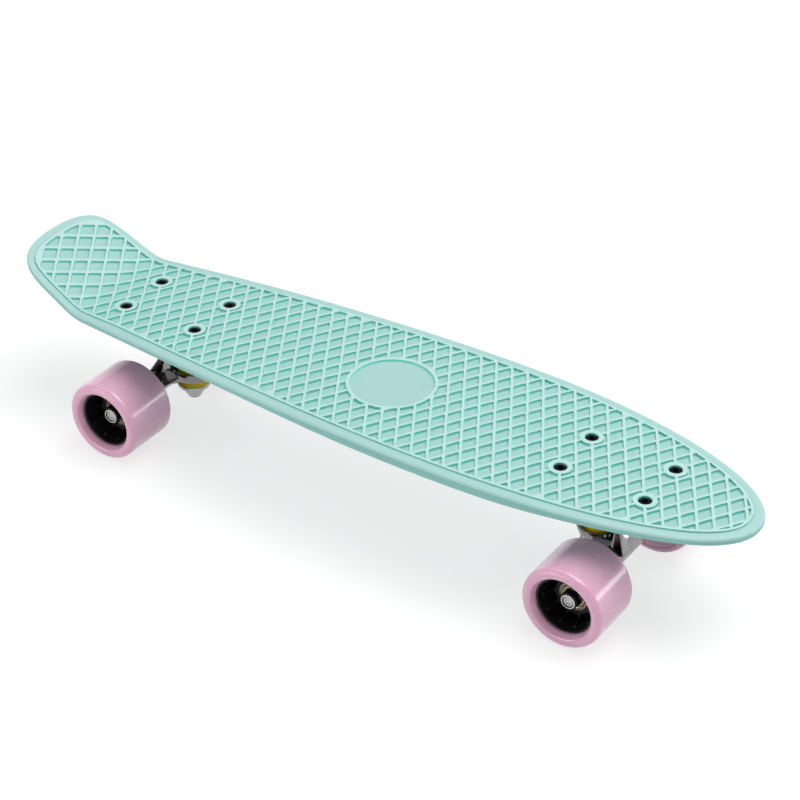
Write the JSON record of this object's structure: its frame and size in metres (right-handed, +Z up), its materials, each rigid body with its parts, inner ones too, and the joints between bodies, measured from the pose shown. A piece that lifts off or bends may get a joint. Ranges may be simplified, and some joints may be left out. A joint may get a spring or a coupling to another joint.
{
  "type": "cruiser skateboard",
  "caption": "Small plastic cruiser skateboard with a waffle-ribbed deck, kicktail, sprung steering trucks, soft wheels on ball bearings and bolts through the deck.",
  "frame": {"origin": "on the floor under the middle of the board's length and width", "axes": "+X along the deck to the nose, +Y to the rider's left when looking at the nose, +Z up"},
  "size_m": [0.5918, 0.1678, 0.1177],
  "materials": {
    "deck_plastic": "satin moulded mint plastic",
    "black_bolt": "black oxide",
    "cast_metal": "polished casting",
    "bushing_urethane": "yellow urethane",
    "zinc_steel": "zinc plated",
    "axle_steel": "plain",
    "wheel_urethane": "glossy pink urethane",
    "core_plastic": "black moulded plastic",
    "bearing_steel": "ground races and pressed shields",
    "black_nut": "black oxide with a pale locking ring"
  },
  "bodies": {
    "board": {"deck": "deck_plastic", "deck_bolt_1": "black_bolt", "deck_bolt_2": "black_bolt", "deck_bolt_3": "black_bolt", "deck_bolt_4": "black_bolt", "deck_bolt_5": "black_bolt", "deck_bolt_6": "black_bolt", "deck_bolt_7": "black_bolt", "deck_bolt_8": "black_bolt", "deck_nut_1": "black_bolt", "deck_nut_2": "black_bolt", "deck_nut_3": "black_bolt", "deck_nut_4": "black_bolt", "deck_nut_5": "black_bolt", "deck_nut_6": "black_bolt", "deck_nut_7": "black_bolt", "deck_nut_8": "black_bolt", "front_baseplate": "cast_metal", "front_pivot_cup": "bushing_urethane", "front_kingpin": "zinc_steel", "front_kingpin_nut": "zinc_steel", "front_board_washer": "zinc_steel", "front_road_washer": "zinc_steel", "front_board_bushing": "bushing_urethane", "front_road_bushing": "bushing_urethane", "rear_baseplate": "cast_metal", "rear_pivot_cup": "bushing_urethane", "rear_kingpin": "zinc_steel", "rear_kingpin_nut": "zinc_steel", "rear_board_washer": "zinc_steel", "rear_road_washer": "zinc_steel", "rear_board_bushing": "bushing_urethane", "rear_road_bushing": "bushing_urethane"},
    "front_truck": {"front_hanger": "cast_metal", "front_axle": "axle_steel", "front_left_axle_nut": "black_nut", "front_right_axle_nut": "black_nut"},
    "front_left_wheel": {"front_left_tyre": "wheel_urethane", "front_left_core": "core_plastic", "front_left_outer_bearing": "bearing_steel", "front_left_inner_bearing": "bearing_steel"},
    "front_right_wheel": {"front_right_tyre": "wheel_urethane", "front_right_core": "core_plastic", "front_right_outer_bearing": "bearing_steel", "front_right_inner_bearing": "bearing_steel"},
    "rear_truck": {"rear_hanger": "cast_metal", "rear_axle": "axle_steel", "rear_left_axle_nut": "black_nut", "rear_right_axle_nut": "black_nut"},
    "rear_left_wheel": {"rear_left_tyre": "wheel_urethane", "rear_left_core": "core_plastic", "rear_left_outer_bearing": "bearing_steel", "rear_left_inner_bearing": "bearing_steel"},
    "rear_right_wheel": {"rear_right_tyre": "wheel_urethane", "rear_right_core": "core_plastic", "rear_right_outer_bearing": "bearing_steel", "rear_right_inner_bearing": "bearing_steel"}
  },
  "joints": [
    {"name": "front_steer", "type": "hinge", "parent": "board", "child": "front_truck", "pos_m": [0.1794, 0, 0.0368], "axis": [0.7934, 0, 0.6088], "range_deg": [-12, 12], "stiffness_Nm_per_rad": 60, "deforming": ["front_board_bushing", "front_road_bushing"]},
    {"name": "front_left_spin", "type": "hinge", "parent": "front_truck", "child": "front_left_wheel", "pos_m": [0.1984, 0, 0.03], "axis": [0, 1, 0], "continuous": true},
    {"name": "front_right_spin", "type": "hinge", "parent": "front_truck", "child": "front_right_wheel", "pos_m": [0.1984, 0, 0.03], "axis": [0, 1, 0], "continuous": true},
    {"name": "rear_steer", "type": "hinge", "parent": "board", "child": "rear_truck", "pos_m": [-0.1666, 0, 0.0368], "axis": [-0.7934, 0, 0.6088], "range_deg": [-12, 12], "stiffness_Nm_per_rad": 60, "deforming": ["rear_board_bushing", "rear_road_bushing"]},
    {"name": "rear_left_spin", "type": "hinge", "parent": "rear_truck", "child": "rear_left_wheel", "pos_m": [-0.1856, 0, 0.03], "axis": [0, 1, 0], "continuous": true},
    {"name": "rear_right_spin", "type": "hinge", "parent": "rear_truck", "child": "rear_right_wheel", "pos_m": [-0.1856, 0, 0.03], "axis": [0, 1, 0], "continuous": true}
  ]
}
